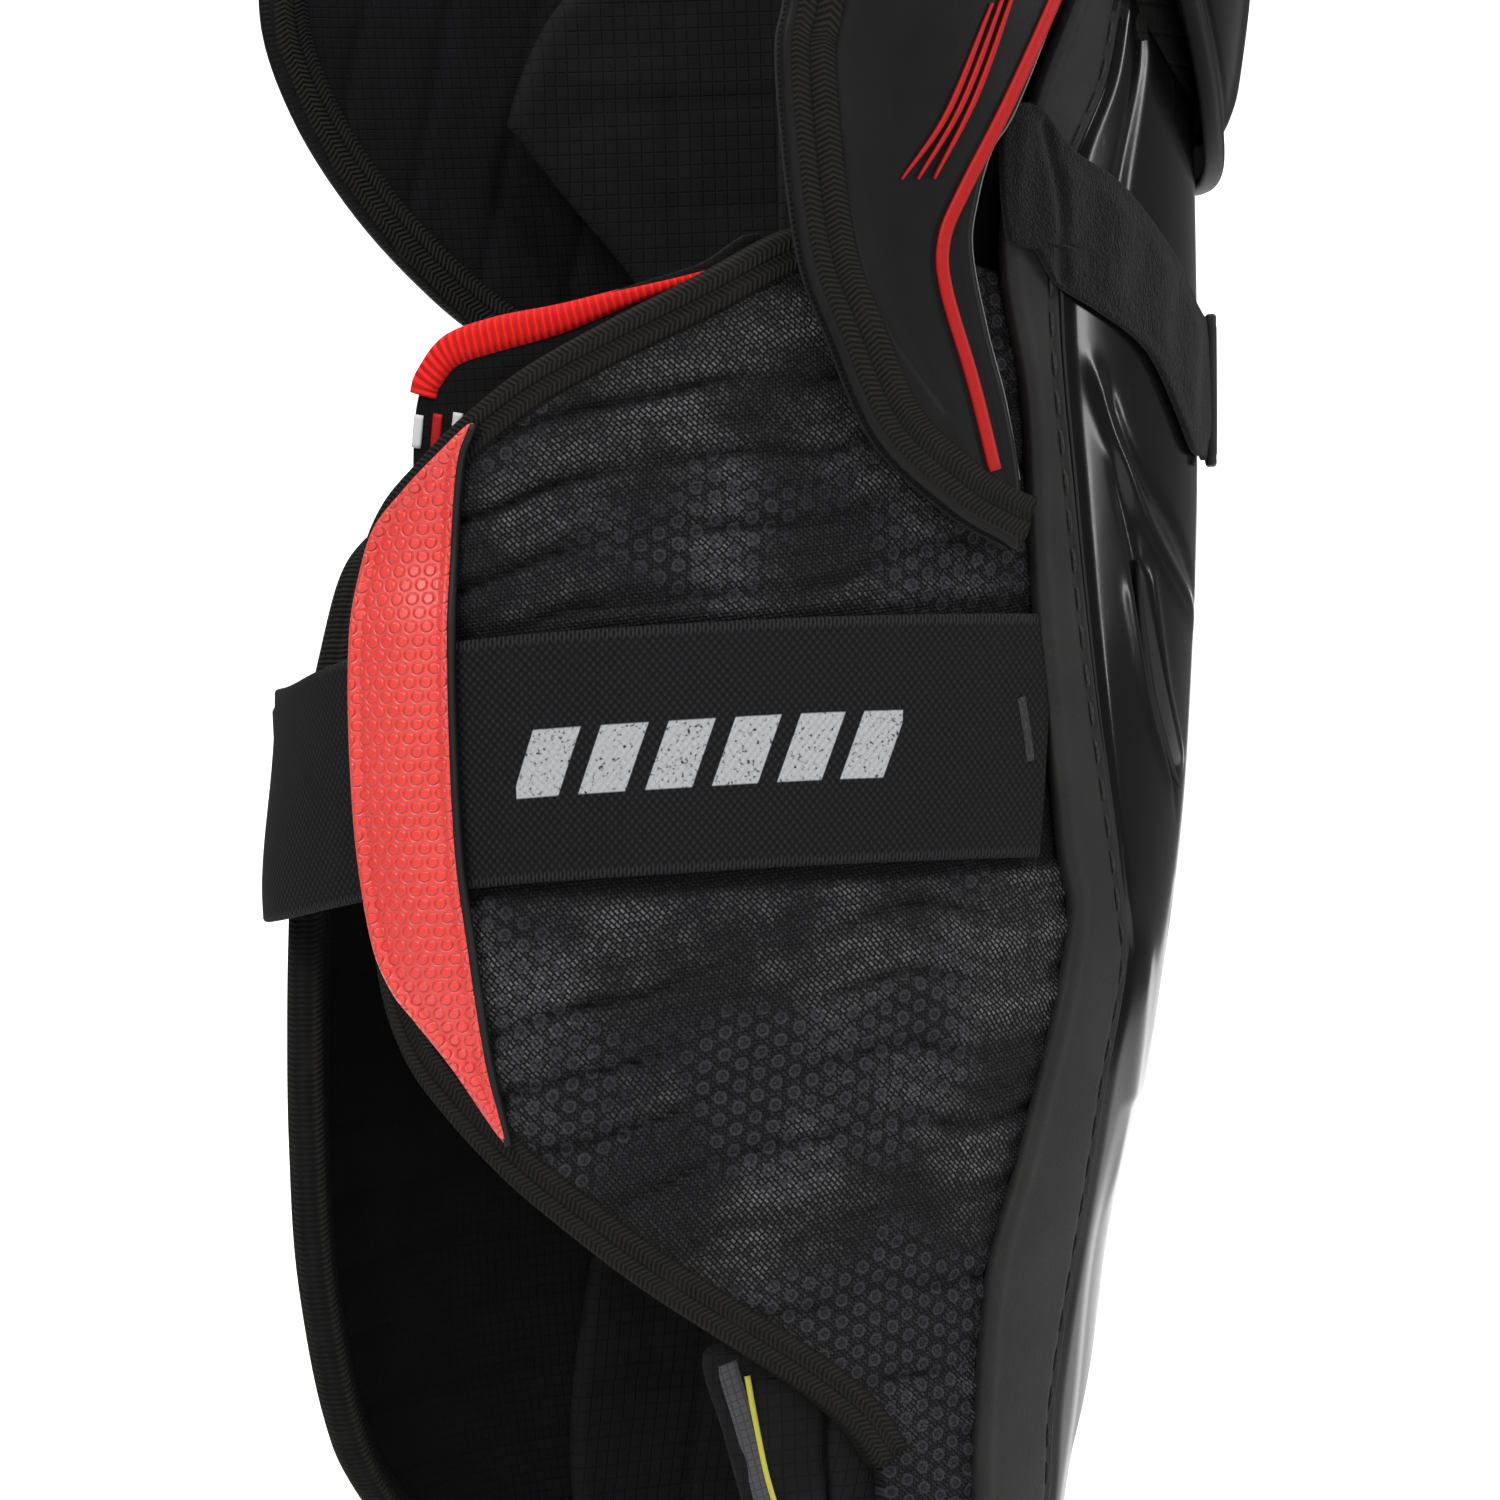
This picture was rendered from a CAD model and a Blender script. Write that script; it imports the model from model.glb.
import math

import bmesh
import bpy
import numpy as np
from mathutils import Matrix, Vector


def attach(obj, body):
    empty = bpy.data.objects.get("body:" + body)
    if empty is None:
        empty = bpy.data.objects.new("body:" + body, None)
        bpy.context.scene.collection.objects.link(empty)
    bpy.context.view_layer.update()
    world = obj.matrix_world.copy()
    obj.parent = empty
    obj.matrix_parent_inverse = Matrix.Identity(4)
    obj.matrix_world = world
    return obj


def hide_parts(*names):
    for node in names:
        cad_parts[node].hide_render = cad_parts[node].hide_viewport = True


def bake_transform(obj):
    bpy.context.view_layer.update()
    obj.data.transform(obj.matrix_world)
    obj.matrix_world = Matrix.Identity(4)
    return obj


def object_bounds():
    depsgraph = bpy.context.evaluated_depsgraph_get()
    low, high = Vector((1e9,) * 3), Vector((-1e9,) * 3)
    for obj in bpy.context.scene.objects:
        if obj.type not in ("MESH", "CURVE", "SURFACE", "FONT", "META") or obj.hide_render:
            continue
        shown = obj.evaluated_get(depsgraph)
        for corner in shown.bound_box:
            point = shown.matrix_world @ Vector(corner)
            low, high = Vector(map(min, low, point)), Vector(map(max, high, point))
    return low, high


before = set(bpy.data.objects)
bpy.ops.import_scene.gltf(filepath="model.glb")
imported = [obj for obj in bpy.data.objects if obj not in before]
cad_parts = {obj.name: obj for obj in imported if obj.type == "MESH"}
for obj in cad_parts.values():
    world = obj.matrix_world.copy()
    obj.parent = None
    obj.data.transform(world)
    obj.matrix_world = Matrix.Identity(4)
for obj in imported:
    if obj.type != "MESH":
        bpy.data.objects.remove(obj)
CAD_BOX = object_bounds()
MM = 0.001

# ---------------------------------------------------------------- the guard's surface
# Inside surface of the guard, as in the CAD part: height, half width, front and rear reach, in mm.
STATIONS = np.array([
    (-225, 42, -30, 62), (-161, 45, -42, 79), (-140, 47, -47, 87), (-106, 50, -53, 92),
    (-76, 52, -62, 93), (-50, 54, -68, 93), (-18, 54, -74, 93), (15, 54, -78, 93),
    (51, 54, -81, 92), (99, 56, -83, 95), (156, 60, -84, 102), (230, 63, -84, 104), (310, 64, -80, 104),
], float)
RIM_STITCH = {-205: -33, -157: -40.4, -136: -41.3, -101: -49.4, -70: -55.2, -46: -60.7, -33: -59,
              8: -52.5, 49: -48.4, 92: -45.8, 116: -50.2, 134: -60.6, 150: -65.8, 165: -73}
RIM_EDGE = {-205: -15, -157: -18.5, -139: -18.9, -106: -22.7, -81: -31.4, -36: -44.5, -22: -42.1,
            35: -37.3, 70: -36.6, 102: -32.3, 130: -41.2, 150: -51.9, 165: -60}
CUP_OUTSIDE = {100: 20.4, 121: 22.5, 136: 25.5, 156: 28.5, 185: 30.5, 215: 28.5, 240: 24.5, 255: 22.0}



def eased(keys, values, at):
    """Smooth value of a table at each height, as the CAD part eases it."""
    keys = np.asarray(keys, float)
    values = np.asarray(values, float)
    at = np.clip(np.asarray(at, float), keys[0], keys[-1])
    i = np.clip(np.searchsorted(keys, at, side="right") - 1, 0, len(keys) - 2)
    before = np.maximum(i - 1, 0)
    after = np.minimum(i + 2, len(keys) - 1)
    span = keys[i + 1] - keys[i]
    low = (values[i + 1] - values[before]) / (keys[i + 1] - keys[before]) * span
    high = (values[after] - values[i]) / (keys[after] - keys[i]) * span
    t = (at - keys[i]) / span
    return (values[i] * (2 * t**3 - 3 * t**2 + 1) + low * (t**3 - 2 * t**2 + t)
            + values[i + 1] * (3 * t**2 - 2 * t**3) + high * (t**3 - t**2))


def table(spec, at):
    if isinstance(spec, dict):
        keys = sorted(spec)
        return eased(keys, [spec[k] for k in keys], at)
    if callable(spec):
        return spec(at)
    return np.full(np.shape(at), float(spec))


def surface(angle, height, depth):
    """Points (mm) at an angle from the front, a height and a depth outward."""
    angle, height, depth = np.broadcast_arrays(
        np.asarray(angle, float), np.asarray(height, float), np.asarray(depth, float))
    half, front, rear = (eased(STATIONS[:, 0], STATIONS[:, k], height) for k in (1, 2, 3))
    reach = (rear - front) / 2
    turn = np.radians(angle)
    x = -half * np.sin(turn)
    y = -reach * np.cos(turn)
    nx, ny = x / half**2, y / reach**2
    size = np.hypot(nx, ny)
    return np.stack([x + depth * nx / size, (front + rear) / 2 + y + depth * ny / size, height], -1)


def angle_of(y, height, depth):
    """Angle at which the layer reaches each y."""
    y, height = np.broadcast_arrays(np.asarray(y, float), np.asarray(height, float))
    low, high = np.zeros(y.shape), np.full(y.shape, 180.0)
    for _ in range(30):
        mid = (low + high) / 2
        less = surface(mid, height, depth)[..., 1] < y
        low = np.where(less, mid, low)
        high = np.where(less, high, mid)
    return (low + high) / 2


# Arc length (mm) round the leg at depth 14, from the side, on a grid of angles and heights.
GRID_A = np.arange(-30, 231, 1.0)
GRID_Z = np.arange(-226, 312, 2.0)
_pts = surface(GRID_A[None, :], GRID_Z[:, None], 14.0)
_arc = np.concatenate([np.zeros((len(GRID_Z), 1)),
                       np.cumsum(np.linalg.norm(np.diff(_pts, axis=1)[..., :2], axis=-1), axis=1)], 1)
_arc = _arc - _arc[:, [120]]


def arc_of(angle, height):
    """Arc length (mm) from the side at each angle and height."""
    angle, height = np.broadcast_arrays(np.asarray(angle, float), np.asarray(height, float))
    fz = np.clip((height - GRID_Z[0]) / 2, 0, len(GRID_Z) - 1.001)
    fa = np.clip(angle - GRID_A[0], 0, len(GRID_A) - 1.001)
    iz, ia = fz.astype(int), fa.astype(int)
    tz, ta = fz - iz, fa - ia
    return ((_arc[iz, ia] * (1 - ta) + _arc[iz, ia + 1] * ta) * (1 - tz)
            + (_arc[iz + 1, ia] * (1 - ta) + _arc[iz + 1, ia + 1] * ta) * tz)


def angle_of_arc(arc, height):
    low = np.full(np.shape(arc), GRID_A[0])
    high = np.full(np.shape(arc), GRID_A[-1])
    for _ in range(26):
        mid = (low + high) / 2
        less = arc_of(mid, height) < arc
        low = np.where(less, mid, low)
        high = np.where(less, high, mid)
    return (low + high) / 2


def smooth_loop(points, per_side=6):
    """Closed smooth curve through the points."""
    p = np.asarray(points, float)
    out = []
    for i in range(len(p)):
        a, b, c, d = p[i - 1], p[i], p[(i + 1) % len(p)], p[(i + 2) % len(p)]
        for k in range(per_side):
            t = k / per_side
            out.append(0.5 * (2 * b + (c - a) * t + (2 * a - 5 * b + 4 * c - d) * t**2
                              + (3 * b - a - 3 * c + d) * t**3))
    return np.array(out)


def smooth_path(points, step=2.0):
    """Open smooth curve through the points, evenly spaced."""
    p = np.asarray(points, float)
    q = np.vstack([2 * p[0] - p[1], p, 2 * p[-1] - p[-2]])
    out = []
    for i in range(1, len(q) - 2):
        a, b, c, d = q[i - 1], q[i], q[i + 1], q[i + 2]
        for k in range(12):
            t = k / 12
            out.append(0.5 * (2 * b + (c - a) * t + (2 * a - 5 * b + 4 * c - d) * t**2
                              + (3 * b - a - 3 * c + d) * t**3))
    out.append(p[-1])
    out = np.array(out)
    run = np.concatenate([[0], np.cumsum(np.linalg.norm(np.diff(out, axis=0), axis=1))])
    count = max(int(run[-1] / step), 3)
    at = np.linspace(0, run[-1], count + 1)
    return np.stack([np.interp(at, run, out[:, k]) for k in range(out.shape[1])], -1)


def flat(points, depth):
    """Side-view (y, z) points as (arc, z) points on the layer at this depth."""
    y, z = np.asarray(points, float).T
    return np.stack([arc_of(angle_of(y, z, depth), z), z], -1)


def polar(points):
    """(angle, z) points as (arc, z)."""
    angle, z = np.asarray(points, float).T
    return np.stack([arc_of(angle, z), z], -1)


SIDES = ((1, "lateral"), (-1, "medial"))


def signed_arc(angle, z):
    """Arc length from the middle of the front, negative on the medial side."""
    return np.sign(angle) * (arc_of(np.abs(angle), z) - arc_of(0 * z, z))


def crowned(near, edge):
    """0 on an outline, rising round to 1 at this distance inside it."""
    return np.sqrt(np.clip(1 - (1 - np.clip(near / edge, 0, 1)) ** 2, 0, 1))


def groove(distance, width, depth):
    return -depth * np.exp(-(distance / width) ** 2)


def smooth01(x, low, high):
    t = np.clip((x - low) / (high - low), 0, 1)
    return t * t * (3 - 2 * t)


def angle_at(y, z, depth):
    """angle_of for one point, as a plain number."""
    return float(angle_of(np.array(y), z, depth))


# ---------------------------------------------------------------- mesh making
def make_object(name, verts, faces, uvs, body, material, replaces=(), slot=None):
    mesh = bpy.data.meshes.new(name)
    mesh.from_pydata([tuple(v) for v in np.asarray(verts) * MM], [], [tuple(f) for f in faces])
    mesh.update()
    add_uvs(mesh, "flat_mm", uvs)
    mesh.polygons.foreach_set("use_smooth", np.ones(len(mesh.polygons), bool))
    obj = bpy.data.objects.new(name, mesh)
    bpy.context.scene.collection.objects.link(obj)
    mesh.materials.append(material)
    fix_normals(mesh)
    if body:
        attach(obj, body)
    if replaces:
        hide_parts(*replaces)
    return obj


def add_uvs(mesh, name, uvs):
    """UV layer from one (u, v) pair for each vertex."""
    layer = mesh.uv_layers.new(name=name)
    loop_verts = np.zeros(len(mesh.loops), np.int32)
    mesh.loops.foreach_get("vertex_index", loop_verts)
    layer.data.foreach_set("uv", np.asarray(uvs, np.float32)[loop_verts].ravel())


def fix_normals(mesh):
    bm = bmesh.new()
    bm.from_mesh(mesh)
    bmesh.ops.recalc_face_normals(bm, faces=bm.faces)
    bm.to_mesh(mesh)
    bm.free()


def loop_distance(points, loop):
    """Distance of each point from a closed loop."""
    return path_distance(points, np.vstack([loop, loop[:1]]))[0]


def path_distance(points, path):
    """Distance from an open path, and how far along it (0 to 1)."""
    a, b = path[:-1], path[1:]
    best = np.full(len(points), 1e9)
    along = np.zeros(len(points))
    d = b - a
    length = np.maximum((d**2).sum(1), 1e-9)
    for i in range(len(a)):
        t = np.clip(((points - a[i]) @ d[i]) / length[i], 0, 1)
        near = a[i] + t[:, None] * d[i]
        dist = ((points - near) ** 2).sum(1)
        better = dist < best
        best = np.where(better, dist, best)
        along = np.where(better, (i + t) / len(a), along)
    return np.sqrt(best), along


def row_grid(loop, rows, columns):
    """Grid of (arc, z) points filling a loop whose every level is one span."""
    low, high = loop[:, 1].min(), loop[:, 1].max()
    t = np.linspace(0, 1, rows)
    t = 0.45 * t + 0.55 * (1 - np.cos(math.pi * t)) / 2
    heights = low + 0.12 + (high - low - 0.24) * t
    nxt = np.roll(loop, -1, axis=0)
    grid = np.zeros((rows, columns, 2))
    for r, z in enumerate(heights):
        cross = (loop[:, 1] - z) * (nxt[:, 1] - z) <= 0
        a, b = loop[cross], nxt[cross]
        dz = np.where(np.abs(b[:, 1] - a[:, 1]) < 1e-9, 1e-9, b[:, 1] - a[:, 1])
        s = a[:, 0] + (b[:, 0] - a[:, 0]) * np.clip((z - a[:, 1]) / dz, 0, 1)
        c = np.linspace(0, 1, columns)
        c = 0.6 * c + 0.4 * (1 - np.cos(math.pi * c)) / 2
        grid[r, :, 0] = s.min() + (s.max() - s.min()) * c
        grid[r, :, 1] = z
    return grid


def panel(name, loop, side, inner, outer, body, material, rows=120, columns=60, edge=3.0, drop=0.42,
          relief=None, inner_relief=None, **more):
    """Closed crowned panel: loop is (arc, z) mm; inner and outer are depths; relief adds to the outside.
    Within edge mm of its outline it thins by the part drop."""
    grid = row_grid(loop, rows, columns)
    flat_points = grid.reshape(-1, 2)
    near = loop_distance(flat_points, loop).reshape(rows, columns)
    near[0, :] = near[-1, :] = near[:, 0] = near[:, -1] = 0
    arc, z = grid[..., 0], grid[..., 1]
    angle = side * angle_of_arc(arc, z)
    mid = (table(outer, z) + table(inner, z)) / 2
    half = (table(outer, z) - table(inner, z)) / 2 * (1 - drop + drop * crowned(near, edge))
    rise = relief(arc, z, near) if relief else 0 * z
    sink = inner_relief(arc, z, near) if inner_relief else 0 * z
    return stitch_faces(name, surface(angle, z, mid + half + rise), surface(angle, z, mid - half + sink),
                        np.stack([arc, z], -1), body, material, rise=rise, **more)


def stitch_faces(name, outside, inside, uv, body, material, lining=None, rise=None, **more):
    """Closed mesh from an outside and an inside grid. lining is the inside's own material; rise is the
    outside's relief, kept for the material to read."""
    rows, columns = outside.shape[:2]
    verts = np.concatenate([outside.reshape(-1, 3), inside.reshape(-1, 3)])
    uvs = np.concatenate([uv.reshape(-1, 2), uv.reshape(-1, 2)])
    shift = rows * columns
    faces = []
    for r in range(rows - 1):
        for c in range(columns - 1):
            a = r * columns + c
            faces.append((a, a + 1, a + columns + 1, a + columns))
            faces.append((a + shift, a + shift + columns, a + shift + columns + 1, a + shift + 1))
    ring = ([(0, c) for c in range(columns)] + [(r, columns - 1) for r in range(1, rows)]
            + [(rows - 1, c) for c in range(columns - 2, -1, -1)] + [(r, 0) for r in range(rows - 2, 0, -1)])
    ring = [r * columns + c for r, c in ring]
    for a, b in zip(ring, ring[1:] + ring[:1]):
        faces.append((a, a + shift, b + shift, b))
    made = make_object(name, verts, faces, uvs, body, material, **more)
    if rise is not None:
        heights = np.concatenate([rise.ravel(), 0 * rise.ravel()])
        add_uvs(made.data, "rise_mm", np.stack([heights, 0 * heights], -1))
    if lining is not None:
        made.data.materials.append(lining)
        index = np.zeros(len(made.data.polygons), np.int32)
        index[1:2 * (rows - 1) * (columns - 1):2] = 1
        made.data.polygons.foreach_set("material_index", index)
    return made


def tube_faces(n, m, closed=False):
    """Faces of n sections of m points each, capped unless the tube closes on itself."""
    faces = []
    for i in range(n if closed else n - 1):
        j = (i + 1) % n
        for k in range(m):
            l = (k + 1) % m
            faces.append((i * m + k, i * m + l, j * m + l, j * m + k))
    if not closed:
        faces.append(tuple(range(m)))
        faces.append(tuple((n - 1) * m + k for k in reversed(range(m))))
    return faces


def sweep(name, path, side, across, depth, body, material, taper=1.0, sag=None, **more):
    """Band along an (arc, z) path. across and depth (mm) are given for each point of each section, across
    being to the left of the path's direction. sag lowers it by angle and height."""
    path = np.asarray(path, float)
    tangent = np.gradient(path, axis=0)
    tangent = tangent / np.maximum(np.linalg.norm(tangent, axis=1), 1e-9)[:, None]
    left = np.stack([-tangent[:, 1], tangent[:, 0]], -1)
    run = np.concatenate([[0], np.cumsum(np.linalg.norm(np.diff(path, axis=0), axis=1))])
    spots = path[:, None, :] + left[:, None, :] * (across * taper)[..., None]
    angle = angle_of_arc(spots[..., 0], spots[..., 1])
    if sag:
        depth = depth - sag(angle, spots[..., 1])
    verts = surface(side * angle, spots[..., 1], depth).reshape(-1, 3)
    uvs = np.stack([np.broadcast_to(run[:, None], across.shape), across], -1).reshape(-1, 2)
    return make_object(name, verts, tube_faces(*across.shape), uvs, body, material, **more)


def tape(name, path, side, profile, body, material, **more):
    """Band of one section: profile is a closed list of (across mm, depth mm)."""
    profile = np.asarray(profile, float)
    across = np.broadcast_to(profile[:, 0], (len(path), len(profile)))
    return sweep(name, path, side, across, profile[None, :, 1], body, material, **more)


STRIP_SECTION = np.array([(-0.5, 0.0), (-0.5, 0.6), (-0.38, 0.92), (-0.15, 1.0), (0.15, 1.0), (0.38, 0.92),
                          (0.5, 0.6), (0.5, 0.0)])


def strip(name, path, side, width, inner, outer, body, material, taper=None, **more):
    """Thin rounded strip. inner and outer depths, and its taper, may vary along the path."""
    inner, outer, taper = (np.broadcast_to(np.asarray(v, float), len(path))[:, None]
                           for v in (inner, outer, 1.0 if taper is None else taper))
    across = np.broadcast_to(STRIP_SECTION[:, 0] * width, (len(path), len(STRIP_SECTION)))
    depth = inner + (outer - inner) * STRIP_SECTION[:, 1]
    return sweep(name, path, side, across, depth, body, material, taper=taper, **more)


def lap_profile(width, inner, outer, rows=2, bulge=0.35, turn=1.6):
    """Section of a binding that folds round an edge: across 0 is the free edge."""
    points = []
    steps = 8 * rows
    for k in range(steps + 1):
        t = k / steps
        wave = abs(math.sin(math.pi * rows * t)) ** 0.6
        points.append((width - (width - turn) * t, outer + bulge * (wave - 0.4)))
    mid = (inner + outer) / 2
    half = (outer - inner) / 2
    for k in range(1, 8):
        a = math.pi / 2 - math.pi * k / 8
        points.append((turn - turn * 1.1 * math.cos(a), mid + half * math.sin(a)))
    return points + [(turn, inner), (width, inner)]


def band_profile(low, high, inner, outer, rounding=0.5, swell=0.0, steps=10):
    """Section of a flat strap between two across values."""
    points = []
    for k in range(steps + 1):
        t = k / steps
        across = low + rounding + (high - low - 2 * rounding) * t
        points.append((across, outer + swell * math.sin(math.pi * t)))
    points.append((high - rounding * 0.3, outer - rounding * 0.3))
    points.append((high, (inner + outer) / 2))
    points.append((high - rounding * 0.3, inner + rounding * 0.3))
    for k in range(steps + 1):
        t = 1 - k / steps
        points.append((low + rounding + (high - low - 2 * rounding) * t, inner))
    points.append((low + rounding * 0.3, inner + rounding * 0.3))
    points.append((low, (inner + outer) / 2))
    points.append((low + rounding * 0.3, outer - rounding * 0.3))
    return points


# ---------------------------------------------------------------- materials
class Sum:
    """A value in a node tree, with ordinary arithmetic."""

    def __init__(self, tree, socket):
        self.tree = tree
        self.socket = socket

    def make(self, operation, *others, clamp=False):
        node = self.tree.nodes.new("ShaderNodeMath")
        node.operation = operation
        node.use_clamp = clamp
        for i, item in enumerate((self,) + others):
            if isinstance(item, Sum):
                self.tree.links.new(item.socket, node.inputs[i])
            else:
                node.inputs[i].default_value = float(item)
        return Sum(self.tree, node.outputs[0])

    def __add__(self, o):
        return self.make("ADD", o)

    def __sub__(self, o):
        return self.make("SUBTRACT", o)

    def __mul__(self, o):
        return self.make("MULTIPLY", o)

    def __truediv__(self, o):
        return self.make("DIVIDE", o)

    def sin(self):
        return self.make("SINE")

    def abs(self):
        return self.make("ABSOLUTE")

    def fract(self):
        return self.make("FRACT")

    def floor(self):
        return self.make("FLOOR")

    def least(self, o):
        return self.make("MINIMUM", o)

    def most(self, o):
        return self.make("MAXIMUM", o)

    def power(self, o):
        return self.make("POWER", o)

    def clip(self):
        return self.make("MULTIPLY", 1.0, clamp=True)

    def step(self, low, high):
        """0 below low, 1 above high, smooth between; low may be above high."""
        node = self.tree.nodes.new("ShaderNodeMapRange")
        node.interpolation_type = "SMOOTHSTEP"
        self.tree.links.new(self.socket, node.inputs["Value"])
        if low > high:
            low, high = high, low
            node.inputs["To Min"].default_value = 1.0
            node.inputs["To Max"].default_value = 0.0
        node.inputs["From Min"].default_value = low
        node.inputs["From Max"].default_value = high
        return Sum(self.tree, node.outputs["Result"])


class Look:
    """Builds one procedural material. u and v are millimetres over the flat piece."""

    def __init__(self, name, color, roughness, **shader):
        self.material = bpy.data.materials.new(name)
        self.material.use_nodes = True
        self.tree = self.material.node_tree
        self.shader = self.tree.nodes["Principled BSDF"]
        self.shader.inputs["Base Color"].default_value = (*color, 1)
        self.shader.inputs["Roughness"].default_value = roughness
        for key, number in shader.items():
            self.shader.inputs[key.replace("_", " ")].default_value = number
        self.base = color
        self.color_socket = None
        self.heights = []
        self.material.diffuse_color = (*color, 1)

    def uv(self, layer="flat_mm"):
        node = self.tree.nodes.new("ShaderNodeUVMap")
        node.uv_map = layer
        split = self.tree.nodes.new("ShaderNodeSeparateXYZ")
        self.tree.links.new(node.outputs["UV"], split.inputs[0])
        return Sum(self.tree, split.outputs["X"]), Sum(self.tree, split.outputs["Y"])

    def noise(self, size_mm, detail=2.0, stretch=(1, 1, 1), rough=0.5):
        """Noise from 0 to 1 in object space, with features about size_mm across."""
        coords = self.tree.nodes.new("ShaderNodeTexCoord")
        mapping = self.tree.nodes.new("ShaderNodeMapping")
        mapping.inputs["Scale"].default_value = [1000.0 / size_mm / s for s in stretch]
        self.tree.links.new(coords.outputs["Object"], mapping.inputs["Vector"])
        node = self.tree.nodes.new("ShaderNodeTexNoise")
        node.inputs["Scale"].default_value = 1.0
        node.inputs["Detail"].default_value = detail
        node.inputs["Roughness"].default_value = rough
        self.tree.links.new(mapping.outputs["Vector"], node.inputs["Vector"])
        return Sum(self.tree, node.outputs["Fac"])

    def cell(self, a, b):
        """Random number for each whole-number cell of two values."""
        join = self.tree.nodes.new("ShaderNodeCombineXYZ")
        self.tree.links.new(a.floor().socket, join.inputs[0])
        self.tree.links.new(b.floor().socket, join.inputs[1])
        node = self.tree.nodes.new("ShaderNodeTexWhiteNoise")
        node.noise_dimensions = "2D"
        self.tree.links.new(join.outputs[0], node.inputs["Vector"])
        return Sum(self.tree, node.outputs["Value"])

    def paint(self, factor, color):
        """Mixes a colour over what is there."""
        node = self.tree.nodes.new("ShaderNodeMix")
        node.data_type = "RGBA"
        self.tree.links.new(factor.clip().socket, node.inputs["Factor"])
        colors = [s for s in node.inputs if s.type == "RGBA"]
        if self.color_socket is None:
            colors[0].default_value = (*self.base, 1)
        else:
            self.tree.links.new(self.color_socket, colors[0])
        colors[1].default_value = (*color, 1)
        self.color_socket = [s for s in node.outputs if s.type == "RGBA"][0]
        self.tree.links.new(self.color_socket, self.shader.inputs["Base Color"])
        return self

    def roughen(self, value):
        self.tree.links.new(value.clip().socket, self.shader.inputs["Roughness"])
        return self

    def bump(self, height_mm, strength=1.0):
        """height_mm is a value in millimetres of raised surface."""
        node = self.tree.nodes.new("ShaderNodeBump")
        node.inputs["Strength"].default_value = strength
        node.inputs["Distance"].default_value = 0.001
        self.tree.links.new(height_mm.socket, node.inputs["Height"])
        if self.heights:
            self.tree.links.new(self.heights[-1].outputs["Normal"], node.inputs["Normal"])
        self.heights.append(node)
        self.tree.links.new(node.outputs["Normal"], self.shader.inputs["Normal"])
        return self


TAU = 2 * math.pi


def gloss_look():
    look = Look("gloss_shell_plastic", (0.0045, 0.0045, 0.005), 0.16, IOR=1.33, Coat_Weight=0.06,
                Coat_Roughness=0.06)
    grain = look.noise(34, 3)
    scuff = look.noise(3.2, 4, (1, 1, 6), 0.7)
    look.roughen(grain.step(0.3, 0.8) * 0.10 + scuff.step(0.58, 0.75) * 0.12 + 0.13)
    look.paint(scuff.step(0.62, 0.8) * 0.08, (0.03, 0.03, 0.031))
    look.bump(look.noise(9, 2) * 0.05 + look.noise(0.9, 2) * 0.006, 0.5)
    return look.material


def rim_look():
    look = Look("matte_rim_plastic", (0.0080, 0.0076, 0.0073), 0.55, Specular_IOR_Level=0.25)
    speck = look.noise(0.75, 3)
    wide = look.noise(16, 3)
    look.paint(wide.step(0.35, 0.7) * 0.5, (0.018, 0.017, 0.0163))
    look.paint(speck.step(0.55, 0.7) * 0.35, (0.030, 0.0285, 0.0275))
    look.roughen(speck * 0.25 + 0.5)
    look.bump(speck * 0.11, 0.8)
    return look.material


def plate_look():
    look = Look("matte_wing_plate", (0.0050, 0.0050, 0.0056), 0.5, Specular_IOR_Level=0.16)
    speck = look.noise(0.55, 2)
    look.paint(look.noise(26, 3).step(0.35, 0.75) * 0.5, (0.009, 0.009, 0.010))
    look.roughen(look.noise(8, 3) * 0.2 + 0.38)
    look.bump(speck * 0.05, 0.6)
    return look.material


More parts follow.
